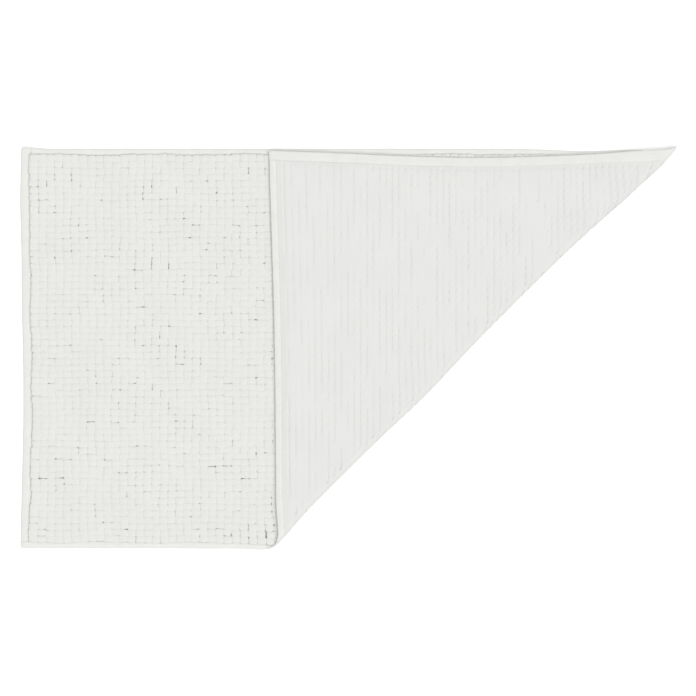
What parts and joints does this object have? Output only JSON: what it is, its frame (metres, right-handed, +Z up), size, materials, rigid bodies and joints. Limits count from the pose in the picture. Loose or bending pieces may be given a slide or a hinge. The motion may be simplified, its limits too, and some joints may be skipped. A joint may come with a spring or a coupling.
{
  "type": "bath mat",
  "caption": "Rectangular tufted cotton bath mat with taped hems, a corner folded up and over on to its face.",
  "frame": {"origin": "middle of the underside of the folded mat's box, on the surface it lies on", "axes": "+X along the mat's long sides towards the fold's pointed end, +Y across it, +Z up out of its face"},
  "size_m": [0.7956, 0.4926, 0.0163],
  "materials": {
    "ground_cotton": "ribbed woven cotton, natural white, matt",
    "chenille": "soft cut chenille tufts, natural white, matt",
    "tape": "plain woven cotton tape, natural white, matt",
    "thread": "twisted sewing thread, white"
  },
  "bodies": {
    "lying": {"ground_cloth": "ground_cotton", "pile": "chenille", "hem_left": "tape", "hem_front": "tape", "hem_back": "tape", "needle_thread_left": "thread", "needle_thread_front": "thread", "needle_thread_back": "thread", "bobbin_thread_left": "thread", "bobbin_thread_front": "thread", "bobbin_thread_back": "thread"},
    "bend_1": {"ground_cloth_bend_1": "ground_cotton", "pile_bend_1": "chenille", "hem_front_bend_1": "tape", "hem_back_bend_1": "tape", "needle_thread_front_bend_1": "thread", "needle_thread_back_bend_1": "thread", "bobbin_thread_front_bend_1": "thread", "bobbin_thread_back_bend_1": "thread"},
    "bend_2": {"ground_cloth_bend_2": "ground_cotton", "pile_bend_2": "chenille", "hem_front_bend_2": "tape", "hem_right_bend_2": "tape", "needle_thread_front_bend_2": "thread", "needle_thread_right_bend_2": "thread", "bobbin_thread_front_bend_2": "thread", "bobbin_thread_right_bend_2": "thread"},
    "corner": {"ground_cloth_corner": "ground_cotton", "pile_corner": "chenille", "hem_front_corner": "tape", "hem_right_corner": "tape", "needle_thread_front_corner": "thread", "needle_thread_right_corner": "thread", "bobbin_thread_front_corner": "thread", "bobbin_thread_right_corner": "thread"}
  },
  "joints": [
    {"name": "fold_1", "type": "hinge", "parent": "lying", "child": "bend_1", "pos_m": [0.07357, -0.07361, 0], "axis": [0.7071, 0.7071, 0], "range_deg": [0, 60]},
    {"name": "fold_2", "type": "hinge", "parent": "bend_1", "child": "bend_2", "pos_m": [0.07689, -0.07694, 0.00815], "axis": [0.7071, 0.7071, 0], "range_deg": [0, 60]},
    {"name": "fold_3", "type": "hinge", "parent": "bend_2", "child": "corner", "pos_m": [0.07357, -0.07361, 0.0163], "axis": [0.7071, 0.7071, 0], "range_deg": [0, 60]}
  ],
  "couplings": [
    {"joint": "fold_2", "follows": "fold_1", "ratio": 1},
    {"joint": "fold_3", "follows": "fold_1", "ratio": 1}
  ]
}
